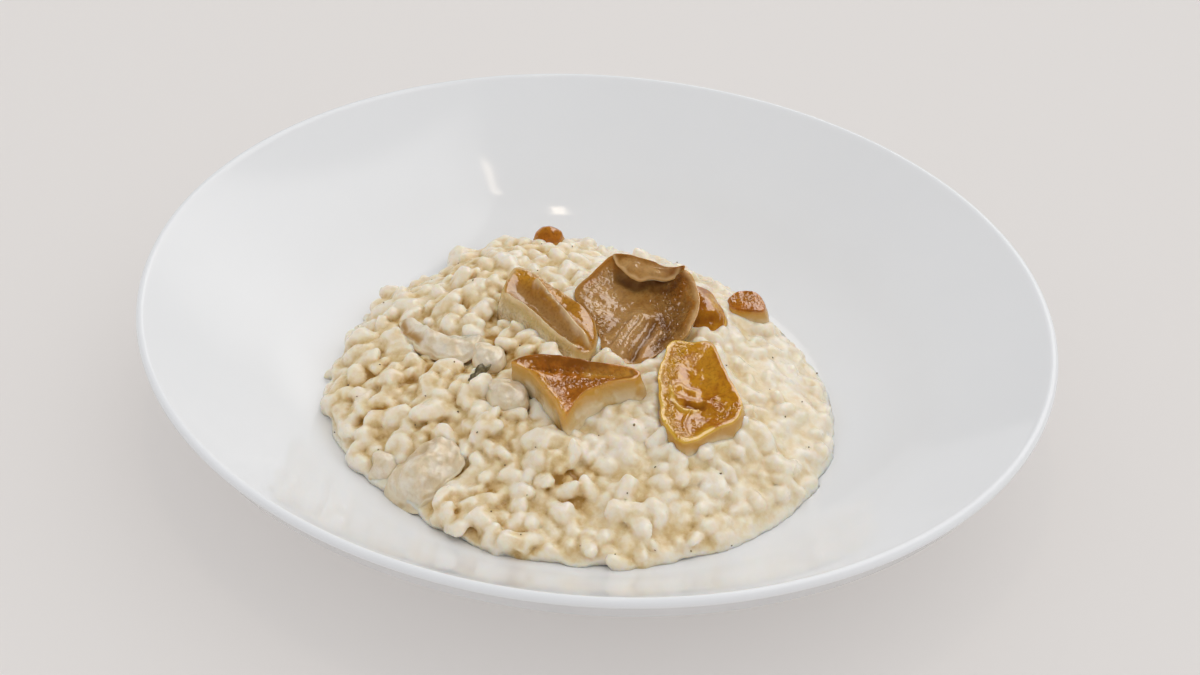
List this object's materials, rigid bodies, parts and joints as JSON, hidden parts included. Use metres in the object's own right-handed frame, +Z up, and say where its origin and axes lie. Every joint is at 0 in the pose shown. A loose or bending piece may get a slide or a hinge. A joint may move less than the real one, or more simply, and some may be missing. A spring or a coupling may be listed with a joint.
{
  "type": "mushroom risotto",
  "caption": "Creamy rice heaped in a deep oval porcelain plate with high sloping sides, topped with folded and browned pieces of oyster mushroom.",
  "frame": {"origin": "centre of the plate's foot, on the table", "axes": "+X along the plate's long axis, +Z up; the meal is seen from the -Y side, a little from the +X side"},
  "size_m": [0.29, 0.2574, 0.045],
  "materials": {
    "porcelain": "smooth white glaze, glossy",
    "risotto": "cream-coated cooked rice, moist and softly glossy; stands for food",
    "browned_mushroom": "browned in butter, glossy; stands for food",
    "golden_mushroom": "golden, buttery and glossy; stands for food",
    "grey_mushroom": "taupe cap, oily and wrinkled; stands for food",
    "ochre_mushroom": "taupe flesh and ochre skin, glossy; stands for food",
    "coated_mushroom": "mushroom flesh under a film of cream, softly glossy; stands for food"
  },
  "bodies": {
    "root": {"plate": "porcelain", "risotto": "risotto", "mushroom_front": "browned_mushroom", "mushroom_right": "golden_mushroom", "mushroom_large": "grey_mushroom", "mushroom_left": "ochre_mushroom", "mushroom_small": "golden_mushroom", "mushroom_cube": "browned_mushroom", "mushroom_back": "browned_mushroom", "coated_chunk": "coated_mushroom", "coated_button": "coated_mushroom", "coated_slice": "coated_mushroom", "coated_cube": "coated_mushroom", "coated_block": "coated_mushroom"}
  },
  "joints": []
}
